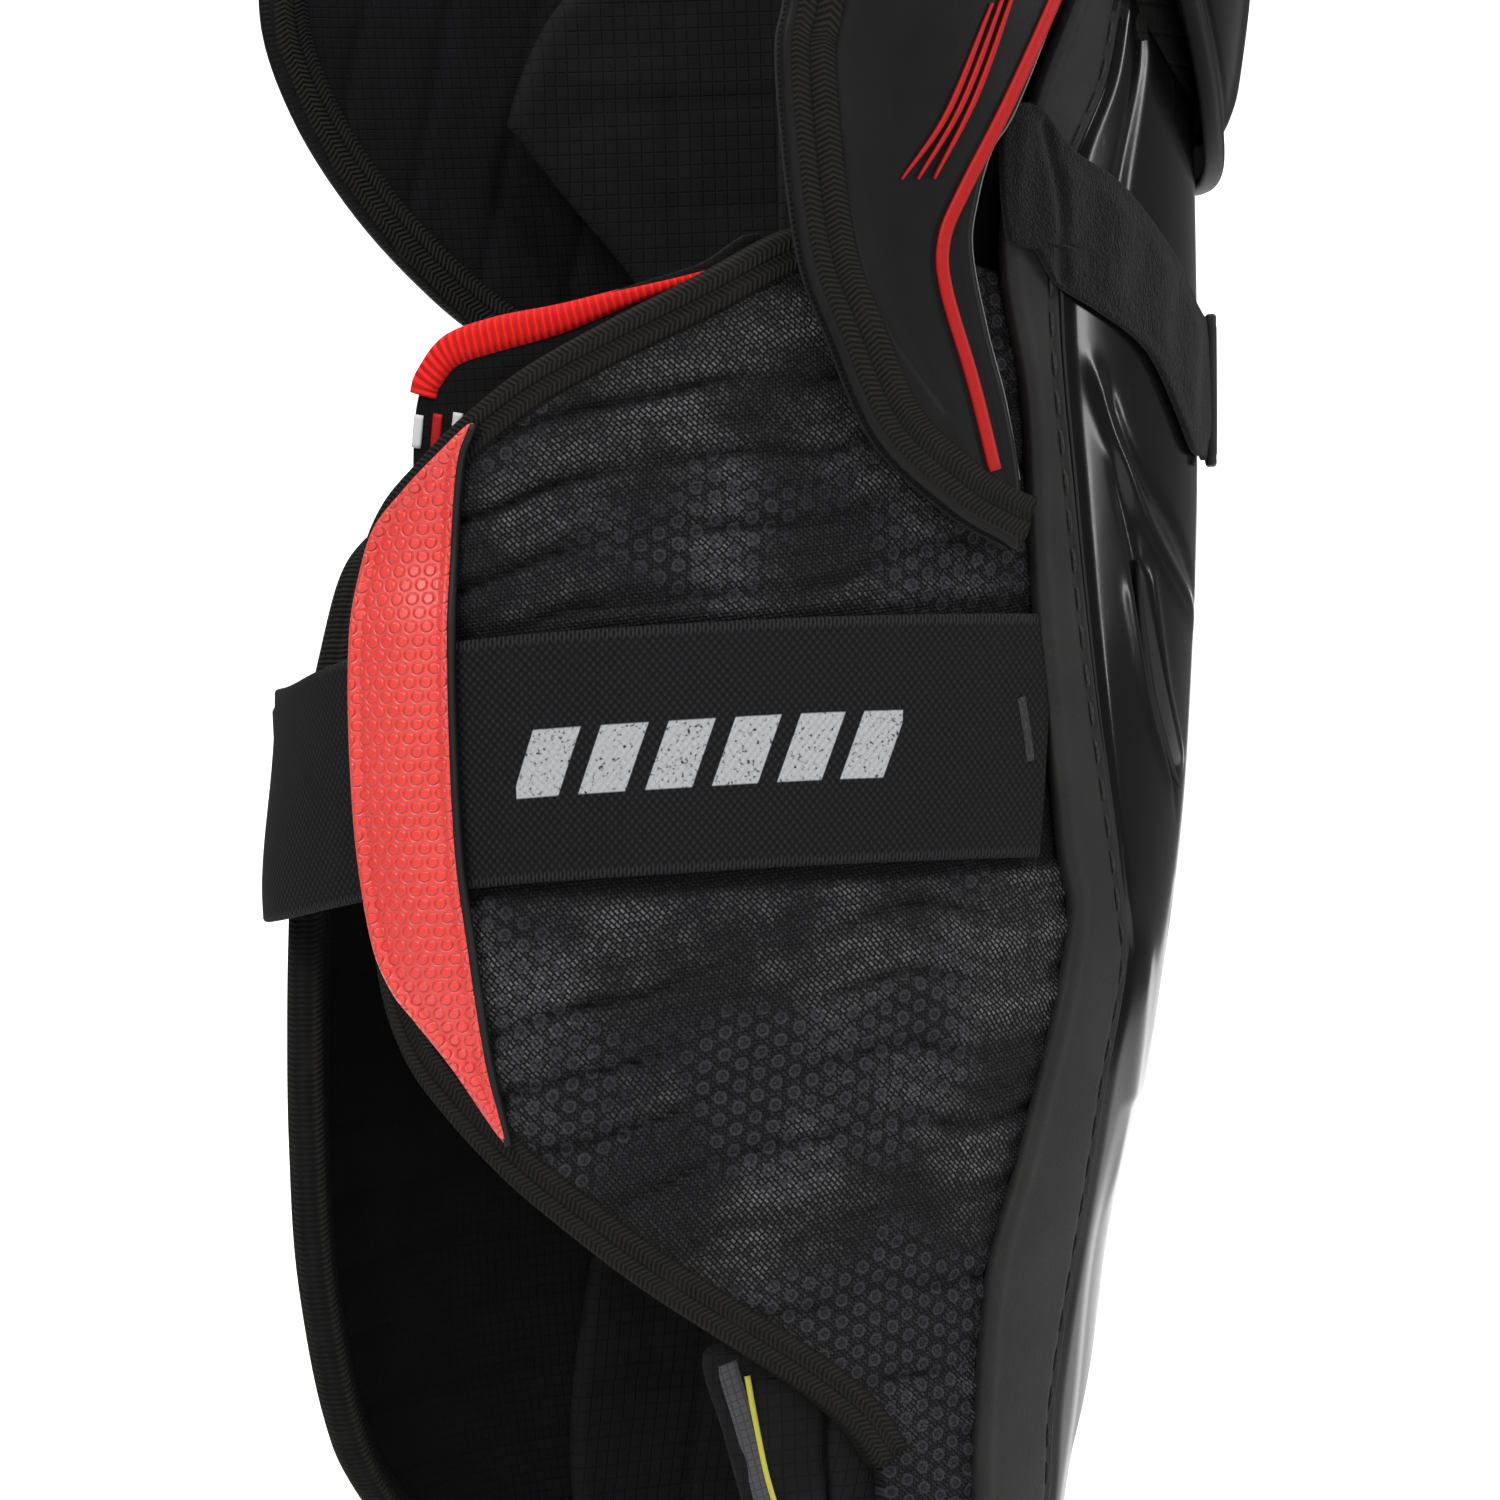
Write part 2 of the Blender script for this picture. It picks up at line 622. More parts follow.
def mesh_look():
    """Warp-knit mesh: dark ground, fine grey flecks on one diagonal and a fading dot print."""
    base = (0.0048, 0.0048, 0.0055)
    look = Look("knit_mesh_print", base, 0.85, Specular_IOR_Level=0.10)
    u, v = look.uv()
    diagonal = 0.7071
    p = (u + v) * diagonal
    q = (u - v) * diagonal
    knit = (p * (TAU / 0.9)).sin() * (q * (TAU / 1.05)).sin()
    look.paint(knit.step(0.2, 0.95) * 0.8, tuple(c * 3.0 for c in base))
    look.paint(knit.step(-0.3, -0.95) * 0.7, tuple(c * 0.25 for c in base))
    row = q / 0.85
    dash = (p + look.cell(row, row * 0 + 3.0) * 5.0) / 1.35
    rise = look.uv("rise_mm")[0]
    crown = rise.step(-0.4, 1.6)
    zone = look.noise(24, 2.5).step(0.40, 0.66)
    chance = look.cell(row, dash)
    on = (chance * 0.75 + 0.25) * (zone * crown * 0.92 + 0.14)
    line = (row.fract() - 0.5).abs().step(0.36, 0.16)
    ends = (dash.fract() - 0.5).abs().step(0.46, 0.28)
    fleck = on * line * ends
    look.paint(fleck, (0.125, 0.125, 0.128))
    bump = knit * 0.09 + fleck * 0.10
    # dots in staggered rows: the distance to the nearer of two square grids
    pitch = 4.3
    dx = pitch * 1.732
    ax = (u / dx).fract() * dx - dx / 2
    ay = (v / pitch).fract() * pitch - pitch / 2
    bx = ((u + dx / 2) / dx).fract() * dx - dx / 2
    by = ((v + pitch / 2) / pitch).fract() * pitch - pitch / 2
    reach = (ax * ax + ay * ay).least(bx * bx + by * by).power(0.5)
    patch = look.noise(38, 1.5)
    ring = (reach - 1.05).abs().step(0.42, 0.12)
    core = reach.step(0.8, 0.4)
    dot = (ring + core * 0.35) * patch.step(0.47, 0.60)
    look.paint(dot * (look.noise(0.7, 2) * 0.5 + 0.4), (0.040, 0.040, 0.044))
    look.paint(rise.step(0.55, -1.3) * 0.88, tuple(c * 0.22 for c in base))
    look.bump(bump + look.noise(0.5, 2) * 0.06, 0.9)
    return look.material


def binding_look(name, width, rows=2, color=(0.0090, 0.0085, 0.0080)):
    """Knit tape with chevron rows. v runs across the tape."""
    look = Look(name, color, 0.88, Specular_IOR_Level=0.12)
    u, v = look.uv()
    row = v * (rows / width)
    lean = (row.fract() - 0.5).abs()
    rib = ((u + lean * 2.6) * (TAU / 1.15)).sin()
    look.paint(rib.step(-0.2, 0.9) * 0.7, tuple(c * 2.3 for c in color))
    look.paint(rib.step(-0.3, -0.95) * 0.6, tuple(c * 0.35 for c in color))
    look.paint(lean.step(0.42, 0.5) * 0.75, tuple(c * 0.3 for c in color))
    look.paint(look.noise(7, 3).step(0.5, 0.75) * 0.3, tuple(c * 1.8 for c in color))
    look.bump(rib * 0.16 - lean.step(0.38, 0.5) * 0.4 + look.noise(0.4, 2) * 0.09, 1.0)
    return look.material


def elastic_look(name, marked):
    """Basket-woven elastic with rolled selvedges; the marked length has a row of plain slanted bars."""
    look = Look(name, (0.0065, 0.0065, 0.0072), 0.85, Specular_IOR_Level=0.12)
    u, v = look.uv()
    weave = (v * (TAU / 1.9)).sin() * (u * (TAU / 1.6)).sin()
    ribs = (u * (TAU / 0.8)).sin()
    look.paint(weave.step(0.1, 0.9) * 0.75, (0.019, 0.019, 0.021))
    look.paint(weave.step(-0.3, -0.9) * 0.6, (0.0015, 0.0015, 0.0015))
    edge = v.abs().step(22.2, 23.0)
    look.paint(edge * ribs.step(-0.2, 0.7) * 0.8, (0.028, 0.028, 0.030))
    if marked:
        bars = (((u + v * 0.35 + 200.0) / 13.0).fract() - 0.5).abs().step(0.36, 0.34)
        span = (u - 73.35).abs().step(38.6, 38.4)
        high = (v + 1.0).abs().step(6.8, 6.4)
        worn = look.noise(0.8, 2).step(0.25, 0.45)
        look.paint(bars * span * high * worn * 0.92, (0.40, 0.41, 0.42))
    look.bump(weave * 0.16 + edge * ribs * 0.12 + look.noise(0.35, 2) * 0.06, 0.9)
    return look.material


def keeper_look():
    """Red synthetic leather embossed with round dots."""
    look = Look("red_embossed_leather", (0.66, 0.026, 0.018), 0.46, Specular_IOR_Level=0.8, Sheen_Weight=0.12)
    u, v = look.uv()
    pitch = 3.15
    tall = pitch * 0.866
    row = v / tall
    shift = (row.floor() * 0.5).fract() * pitch
    du = ((u + shift) / pitch).fract() * pitch - pitch / 2
    dv = row.fract() * tall - tall / 2
    reach = (du * du + dv * dv).power(0.5)
    dot = reach.step(1.25, 0.75)
    ring = (reach - 1.2).abs().step(0.3, 0.0)
    look.paint(look.noise(30, 2).step(0.35, 0.7) * 0.5, (0.74, 0.045, 0.032))
    look.paint(ring * 0.30, (0.36, 0.010, 0.008))
    look.paint(dot * 0.15, (0.78, 0.060, 0.042))
    look.roughen(dot * -0.10 + look.noise(3, 3) * 0.12 + 0.40)
    look.bump(dot * 0.30 - ring * 0.10 + look.noise(0.6, 3) * 0.03, 1.0)
    return look.material


def piping_look():
    look = Look("red_ribbed_piping", (0.70, 0.009, 0.007), 0.75, Specular_IOR_Level=0.2)
    u = look.uv()[0]
    rib = (u * (TAU / 1.7)).sin()
    look.paint(rib.step(-0.55, -0.98) * 0.7, (0.26, 0.004, 0.004))
    look.paint(rib.step(0.2, 0.95) * 0.5, (0.84, 0.014, 0.011))
    look.bump(rib * 0.26 + look.noise(0.4, 2) * 0.05, 1.0)
    return look.material


def pile_look(name="loop_pile", color=(0.0048, 0.0048, 0.0052)):
    """Brushed loop fabric."""
    look = Look(name, color, 0.95, Sheen_Weight=0.10, Sheen_Roughness=0.4, Specular_IOR_Level=0.08)
    fuzz = look.noise(0.55, 4, rough=0.75)
    clump = look.noise(2.2, 3, rough=0.65)
    look.paint(fuzz.step(0.52, 0.72) * 0.8, (0.026, 0.026, 0.028))
    look.paint(clump.step(0.45, 0.2) * 0.6, (0.004, 0.004, 0.004))
    look.bump(fuzz * 0.55 + clump * 0.55, 1.0)
    return look.material


def liner_look(name, color=(0.0078, 0.0078, 0.0086), grid=3.0):
    """Brushed liner knit with a fine grid of lines."""
    look = Look(name, color, 0.92, Specular_IOR_Level=0.1)
    u, v = look.uv()
    line_u = ((u / grid).fract() - 0.5).abs().step(0.40, 0.49)
    line_v = ((v / grid).fract() - 0.5).abs().step(0.40, 0.49)
    lines = line_u.most(line_v)
    look.paint(look.noise(14, 3).step(0.35, 0.7) * 0.5, tuple(c * 1.5 for c in color))
    look.paint(lines * 0.35, tuple(c * 0.5 for c in color))
    look.bump(lines * -0.18 + look.noise(0.5, 3) * 0.14 + look.noise(9, 2) * 0.5, 0.9)
    return look.material


def foam_look():
    look = Look("closed_cell_foam", (0.022, 0.022, 0.024), 0.9, Specular_IOR_Level=0.1)
    cells = look.noise(0.7, 3, rough=0.7)
    look.paint(cells.step(0.5, 0.7) * 0.5, (0.05, 0.05, 0.053))
    look.bump(cells * 0.25, 0.9)
    return look.material


def thread_look():
    look = Look("polyester_thread", (0.018, 0.0175, 0.017), 0.7, Specular_IOR_Level=0.2)
    twist = look.noise(0.35, 2, (1, 1, 2.5))
    look.paint(twist.step(0.45, 0.65) * 0.7, (0.05, 0.05, 0.05))
    look.bump(twist * 0.2, 1.0)
    return look.material


def rubber_look(name="moulded_rubber", color=(0.007, 0.007, 0.0075)):
    look = Look(name, color, 0.6, Specular_IOR_Level=0.25)
    grain = look.noise(0.6, 3)
    look.paint(look.noise(8, 3).step(0.4, 0.75) * 0.4, tuple(c * 1.8 for c in color))
    look.roughen(grain * 0.2 + 0.42)
    look.bump(grain * 0.06, 0.7)
    return look.material


def stripe_look(name, color):
    look = Look(name, color, 0.55, Specular_IOR_Level=0.2)
    wear = look.noise(1.1, 3, rough=0.7)
    look.paint(wear.step(0.62, 0.74) * 0.5, tuple(c * 0.45 for c in color))
    look.roughen(wear * 0.2 + 0.4)
    look.bump(look.noise(0.6, 2) * 0.05, 0.6)
    return look.material


GLOSS = gloss_look()
RIM = rim_look()
PLATE = plate_look()
MESH = mesh_look()
ELASTIC = elastic_look("woven_elastic", True)
ELASTIC_REAR = elastic_look("woven_elastic_rear", False)
KEEPER = keeper_look()
PIPING = piping_look()
PILE = pile_look()
LINER = liner_look("liner_knit")
LINER_LIGHT = liner_look("liner_herringbone", (0.060, 0.060, 0.063), 1.6)
FOAM = foam_look()
THREAD = thread_look()
RUBBER = rubber_look()
BINDING = binding_look("calf_binding_knit", 8.0)
WING_BINDING = binding_look("knee_binding_knit", 10.5)
PLAIN_BINDING = binding_look("flap_binding_knit", 6.0, 1)
RED_PRINT = stripe_look("red_print", (0.36, 0.008, 0.008))
WHITE_EDGE = stripe_look("cut_plastic_edge", (0.16, 0.16, 0.165))
SILVER_PRINT = stripe_look("pale_print", (0.55, 0.55, 0.56))
YELLOW_PRINT = stripe_look("yellow_print", (0.42, 0.40, 0.05))
VENT_DARK = rubber_look("vent_opening", (0.0012, 0.0012, 0.0012))
LINER_DARK = liner_look("liner_knit_dark", (0.0052, 0.0052, 0.0060), 2.2)


def blend_calf(obj):
    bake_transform(obj)


# --- shell
VENT = [(44.0, 36.3), (40.8, 22), (36.5, 7.0), (30.5, -4.5), (25.0, -12.4)]


def shell():
    """Moulded shell with its ridges, its centre seam and a vent slot on each side."""
    rows, columns = 330, 190
    c = np.linspace(-1, 1, columns)[None, :]
    t = np.linspace(0, 1, rows)[:, None]
    top = 126.5 + 27 * np.abs(c) ** 2.4
    low = -203.5 + 3.0 * c**2
    z = low + (top - low) * t
    seam = angle_of(table(RIM_STITCH, z) - 0.3, z, 17.0)
    angle = seam * c
    points = np.stack([arc_of(np.abs(angle), z), z], -1).reshape(-1, 2)
    ridges = (
        ([(55.1, 80.5), (48.4, 59.0), (38.0, 38.0), (16.9, 18.0)], 2.4, 1.3),
        ([(52.4, 75.4), (43.7, 54.7), (18.3, 26.5)], 1.7, -0.9),
        ([(51, 62), (46, 42), (40, 20), (33, 0), (24, -22)], 1.6, -0.9),
        ([(41.5, 150.4), (41.2, 138.2), (46.9, 114.8), (50, 96)], 2.2, -0.9),
        ([(36, -36), (31, -70), (27, -104)], 5.0, 0.8),
        ([(20, -30), (17, -62), (15, -100)], 2.6, -0.7),
    )
    depth = np.full(len(points), 16.9)
    for path, width, height in ridges:
        distance, along = path_distance(points, polar(smooth_path(path, 4)))
        fade = smooth01(along, 0, 0.15) * (1 - smooth01(along, 0.8, 1.0))
        depth += height * np.exp(-(distance / width) ** 2) * fade
    distance, along = path_distance(points, polar(smooth_path(VENT, 2)))
    ends = smooth01(along, 0.0, 0.12) * (1 - smooth01(along, 0.88, 1.0))
    depth += (0.55 * np.exp(-((distance - 4.4) / 1.7) ** 2) - 1.3 * np.exp(-(distance / 2.2) ** 2)) * ends
    depth = depth.reshape(z.shape)
    spread = np.abs(angle)
    # central plane set back below the ledge, and a soft crest down the middle
    ledge = np.interp(z, [-205, -158, -118], [44, 33, 17])
    depth -= 1.5 * (1 - smooth01(spread, ledge - 1.3, ledge + 0.6)) * smooth01(-z, 116, 122)
    depth += 0.9 * np.exp(-(spread / 6.5) ** 2) * smooth01(-z, -95, -70) * (1 - smooth01(-z, 95, 118))
    depth -= 0.8 * smooth01(-z, 75.4, 78.6) * (1 - smooth01(spread, 30, 36))
    # the seam border dips towards the rim
    depth += groove((1 - np.abs(c)) * seam * 1.45, 1.5, 0.9)
    path = smooth_path(polar(VENT), 0.8)
    taper = np.sin(math.pi * np.clip(np.linspace(0, 1, len(path)), 0.01, 0.99)) ** 0.75
    level = 15.25 + 1.3 * (1 - taper)
    for side, word in SIDES:
        strip("shell_vent_" + word, path, side, 2.6, level - 1.2, level + 0.8, "guard_body", VENT_DARK, taper,
              slot="gloss_shell")
    outside = surface(angle, z, depth)
    inside = surface(angle, z, np.minimum(depth - 2.2, 14.4))
    uvs = np.stack([signed_arc(angle, z), z], -1)
    stitch_faces("shin_shell_skin", outside, inside, uvs, "guard_body", GLOSS, replaces=["shin_shell"],
                 slot="gloss_shell")


def rim(side, word):
    heights = np.arange(-204, 156, 3.0)
    seam, free = (flat(np.stack([table(y, heights), heights], -1), 17.0) for y in (RIM_STITCH, RIM_EDGE))

    def relief(arc, z, near):
        start = np.interp(z, seam[:, 1], seam[:, 0])
        end = np.interp(z, free[:, 1], free[:, 0])
        from_seam = arc - start
        return (groove(from_seam - 2.6, 0.95, 0.75) + groove(from_seam, 0.8, 0.5)
                + 0.28 * np.exp(-((end - arc - 2.3) / 1.3) ** 2))

    panel("rim_flange_" + word, np.vstack([seam, free[::-1]]), side, 13.6, 17.1, "guard_body", RIM, rows=300,
          columns=34, edge=1.7, drop=0.35, relief=relief, replaces=["shell_rim_" + word], slot="matte_rim")
    stitches("rim_thread_" + word, seam, side, "guard_body", ["rim_stitches_" + word])


def stitches(name, seam, side, body, replaced, pitch=8.0, length=5.6, across=2.6, depth=16.75, radius=0.5):
    """Thread lying in a seam's groove, one fat stitch after another."""
    path = smooth_path(seam, 1.0)
    run = np.concatenate([[0], np.cumsum(np.linalg.norm(np.diff(path, axis=0), axis=1))])
    verts, faces, uvs = [], [], []
    at = 6.0
    while at < run[-1] - 6:
        rings = 9
        for k in range(rings):
            t = k / (rings - 1)
            place = at + (t - 0.5) * length
            s = np.interp(place, run, path[:, 0]) + across
            z = np.interp(place, run, path[:, 1])
            size = radius * (0.35 + 0.65 * math.sin(math.pi * t) ** 0.5)
            dip = 0.55 * (2 * t - 1) ** 4
            for j in range(8):
                a = TAU * j / 8
                angle = float(angle_of_arc(np.array([s + size * 0.9 * math.cos(a)]), np.array([z]))[0])
                verts.append(surface(side * angle, z, depth - dip + size * math.sin(a)))
                uvs.append((place, j))
        base = len(verts) - rings * 8
        faces += [tuple(base + v for v in face) for face in tube_faces(rings, 8)]
        at += pitch
    make_object(name, verts, faces, uvs, body, THREAD, replaces=replaced, slot="thread")


# --- calf wings
CALF_EDGE = [(96.5, 104.6), (105.8, 97.4), (118.3, 88.6), (129, 80.6), (138.9, 70.6), (145.2, 63.2),
             (150.4, 56.6), (154.2, 48.8), (156.2, 40.0), (156.8, 17.2), (156.6, -12.8), (154.5, -39.8),
             (150.4, -54.7), (143.8, -66), (134.6, -78.8), (125.7, -89.1), (114.1, -101.8), (102.8, -113.0),
             (91.1, -124.7), (83.2, -134.1), (78.2, -143.2)]


def calf_fabric_lateral():
    """Padded mesh of the lateral calf wing and the panel ahead of its fold."""
    front = [(angle_at(table(RIM_STITCH, z) + 1.2, z, 13.0), z)
             for z in (-188, -160, -130, -100, -70, -40, -10, 20, 50, 80, 92)]
    edge = [(angle - 1.0, z) for angle, z in CALF_EDGE]
    loop = polar(front + [(80, 101), (88, 104)] + edge + [(76.5, -152), (74.5, -168), (70, -183), (62, -189)])
    loop = smooth_loop(loop, 5)

    def relief(arc, z, near):
        below = smooth01(-z, -12, 12)
        wander = 1.6 * np.sin(arc * 0.075 + z * 0.03) + 0.8 * np.sin(arc * 0.17 + 1.3)
        field = z + 0.13 * arc + 0.0018 * arc * arc * below + wander
        lines = np.array([96.0, 78.0, 64.0, 50.0, 38.0, -33.0, -46.0, -60.0, -75.0, -91.0, -108.0, -126.0])
        gap = np.abs(field[..., None] - lines).min(-1)
        out = 2.6 * crowned(gap, 6.5) - 1.9
        out = out * smooth01(near, 3, 14) * (0.55 + 0.45 * smooth01(arc, 20, 60))
        crease = 0.45 * np.sin(field * 0.95 + 1.5 * np.sin(arc * 0.11)) * smooth01(near, 8, 20)
        swell = 0.9 * smooth01(near, 4, 22)
        press = smooth01(z, -27, -22) * (1 - smooth01(z, 28, 34))
        return (out + swell + crease) * (1 - press) - 0.3 * press

    made = panel("calf_fabric_lateral", loop, 1, 6.8, 13.1, None, MESH, rows=300, columns=110, edge=4.5,
                 drop=0.5, relief=relief, lining=LINER_DARK, slot="mesh",
                 replaces=["calf_wing_pad_lateral", "calf_front_panel_lateral"])
    blend_calf(made)
    calf_binding([(84, 108.2), (90, 107)] + CALF_EDGE, 1, "lateral")


def calf_binding(edge, side, word):
    """Knit binding round the free edge of a calf wing."""
    path = smooth_path(polar(edge), 1.4)[::-1]
    bound = tape("calf_binding_" + word, path, side, lap_profile(8.4, 6.0, 13.6, bulge=0.55), None, BINDING,
                 replaces=["calf_wing_binding_" + word], slot="binding")
    blend_calf(bound)


STRAP_LINE = [(61, 2.3), (75, 3.6), (95, 4.8), (115, 4.9), (130, 4.4), (142, 3.2), (153, 1.8)]
STRAP_WIDTH = 49.0


def calf_strap():
    """Woven elastic over both calf wings, with its bartack and pull tab."""
    path = smooth_path(polar(STRAP_LINE), 1.6)
    half = STRAP_WIDTH / 2
    made = tape("calf_strap_elastic", path, 1, band_profile(-half, half, 14.5, 16.3, 0.8, 0.15, 24), None,
                ELASTIC, replaces=["calf_strap_lateral", "calf_strap_front"], slot="elastic")
    blend_calf(made)
    # the bartack where the strap is sewn in near the rim
    column = smooth_path(polar([(65.6, 10.5), (64.6, 4), (63.8, -2.5)]), 0.6)
    tack = tape("calf_strap_bartack", column, 1, band_profile(-1.0, 1.0, 16.2, 16.75, 0.3), None, THREAD,
                slot="thread")
    blend_calf(tack)
    rear = smooth_path(polar([(153.5, 1.6), (164, -0.8), (176, -3.4), (190, -5.2), (204, -6.0),
                              (211.5, -6.2)]), 1.6)
    tape("calf_strap_rear", rear, 1, band_profile(0.4 - half, half - 0.4, 14.5, 16.3, 0.8, 0.1, 26),
         "calf_strap_end", ELASTIC_REAR, sag=strap_sag, replaces=["calf_strap_end"], slot="elastic")
    tab = smooth_path(polar([(209, -6.1), (213, -6.2), (216.5, -6.3)]), 1.0)
    tape("calf_strap_pull_tab", tab, 1, band_profile(-20, 20, 16.2, 17.2, 0.9, 0.1, 16), "calf_strap_end",
         RUBBER, replaces=["calf_strap_tab"], slot="tab")


def strap_sag(angle, z):
    """The rear of the strap spans straight from wing to wing instead of bowing round the calf."""
    bow = np.sin(math.pi * np.clip((angle - 154) / 56, 0, 1))
    return (1.2 + 6.6 * smooth01(z, -26, 20)) * bow


def keeper():
    left = [(135.4, 70.8), (141, 64.5), (145.9, 58.3), (151.0, 50.8), (153.4, 41.1), (154.3, 27.3),
            (154.4, 7.4), (154.0, -12.5), (152.3, -30.4), (149.6, -40.4), (146.5, -46.3), (141.0, -56.3),
            (132.9, -71.8)]
    right = [(135.6, -54.5), (137.2, -32.7), (138.6, -12.9), (138.9, 16.7), (138.9, 44.1), (137.4, 62.6)]
    loop = smooth_loop(polar(left + right), 6)
    inner = {-82: 14.0, -56: 14.3, -34: 16.5, 30: 16.5, 46: 14.4, 72: 14.0}
    outer = {-82: 15.9, -56: 16.6, -34: 19.0, 30: 19.0, 46: 16.8, 72: 15.9}

    def relief(arc, z, near):
        return (0.55 * np.exp(-((near - 1.2) / 0.8) ** 2) + 0.5 * smooth01(near, 3, 10)
                + groove(near - 2.9, 0.6, 0.35))

    panel("red_strap_keeper", loop, 1, inner, outer, "lateral_calf_wing", KEEPER, rows=190, columns=44,
          edge=1.3, drop=0.5, relief=relief, replaces=["strap_keeper"], slot="red_grip")
    edge = smooth_path(polar([(135.2, 70.4), (137.4, 62.6), (138.9, 44.1), (138.9, 16.7), (138.6, -12.9),
                              (137.2, -32.7), (135.6, -54.5), (132.9, -71.8)]), 1.2)
    rows = table(outer, edge[:, 1])
    strip("keeper_dark_edge", edge, 1, 1.5, rows - 1.4, rows + 0.35, "lateral_calf_wing", RUBBER, slot="tab")


def lining_band():
    """Padded band inside the top of the lateral calf wing, with its red piping."""
    top = [(96.1, 104.0), (104.7, 99.9), (114, 96.2), (123.5, 92.3), (133, 89.8), (139.6, 87.2),
           (143.6, 82.0)]
    loop = polar(top + [(146.6, 74), (148.2, 60), (148, 48), (128, 46), (110, 46), (97, 46), (96, 70)])
    loop = smooth_loop(loop, 5)

    def relief(arc, z, near):
        return 0.5 * np.sin(z * 0.42 + arc * 0.05) * smooth01(near, 4, 12)

    made = panel("calf_lining_band_pad", loop, 1, 0.8, 6.0, "lateral_calf_wing", LINER_DARK, rows=70,
                 columns=60, edge=3, drop=0.4, relief=relief, replaces=["calf_lining_band"],
                 slot="liner_knit")
    path = smooth_path(polar(top + [(144.6, 79.0)]), 1.0)[::-1]
    taper = 0.16 + 0.84 * smooth01(np.linspace(1, 0, len(path)), 0.05, 0.75)
    strip("red_lining_piping", path + np.array([0.0, -2.2]), 1, 7.6, 0.2, 6.0 + 1.3 * taper,
          "lateral_calf_wing", PIPING, taper, replaces=["lining_band_piping"], slot="red_piping")
    # generic bar marks under the piping at the rear
    for k in range(4):
        foot = 146.6 - 3.2 * k
        bar = smooth_path(polar([(foot, 66.5), (foot - 1.0, 73.0)]), 0.8)
        strip("lining_mark_%d" % k, bar, 1, 2.2, 6.1, 6.75, "lateral_calf_wing",
              RED_PRINT if k % 2 else SILVER_PRINT, slot="red_piping")


def medial_calf():
    """Padded mesh of the medial calf wing, its binding and the strap's landing patch."""
    front = [(angle_at(table(RIM_STITCH, z) + 1.2, z, 13.0), z)
             for z in (-184, -160, -130, -100, -70, -40, -10, 20, 45, 58)]
    edge = [(84, 64), (96, 62.5), (110, 59.5), (122, 55), (132, 48.5), (138, 40), (143.5, 22), (150.5, 0),
            (154.5, -20), (158.5, -45), (161.8, -69), (164, -90), (165, -112), (164.6, -132), (162, -148),
            (154, -161), (140, -169), (122, -174), (104, -177), (84, -179)]
    loop = smooth_loop(polar(front + edge + [(74, -183), (66, -187)]), 5)

    def relief(arc, z, near):
        out = np.zeros(arc.shape)
        for at in (44, 30, -36, -52, -68, -84, -100, -118, -136, -154):
            out += groove(z + 0.10 * arc - at, 1.9, 0.95)
        press = smooth01(z, -62, -54) * (1 - smooth01(z, 30, 34)) * 0.8
        return (out + 0.9 * smooth01(near, 6, 22)) * (1 - press)

    made = panel("calf_fabric_medial", loop, -1, 6.8, 13.0, None, MESH, rows=240, columns=92, edge=4.5,
                 drop=0.5, relief=relief, lining=LINER_DARK, slot="mesh",
                 inner_relief=lambda a, z, n: groove(np.sin(z * 0.21) * 6, 2.0, -0.8),
                 replaces=["calf_wing_pad_medial", "calf_front_panel_medial"])
    blend_calf(made)
    calf_binding(edge, -1, "medial")
    patch = smooth_loop(polar([(118, 26), (128, 29), (136, 24), (141, 8), (146, -14), (150, -40), (150, -54),
                               (140, -57), (128, -55), (122, -30), (118, 0)]), 5)
    panel("strap_landing_loop", patch, -1, 13.4, 14.3, "medial_calf_wing", PILE, rows=70, columns=40,
          edge=1.0, drop=0.3, replaces=["strap_landing_patch"], slot="loop_pile")


# --- knee wings
WING_REAR = [(94.3, 149.1), (95.6, 139.6), (95.8, 118.5), (95.0, 99.1), (92.6, 85.3), (87.4, 63.4),
             (78.5, 49.0), (72.0, 42.6)]
WING_FRONT = [(69.2, 41.0), (69.0, 54.1), (70.8, 70.1), (73.0, 84.1), (74.6, 99.9), (73.6, 109.7),
              (71.4, 119.4), (67.9, 127.2), (61.0, 148.8), (56, 168), (54.5, 186)]
WING_TOP = [(57, 198), (64, 205), (74, 202), (83, 192), (89.5, 176), (93, 162)]


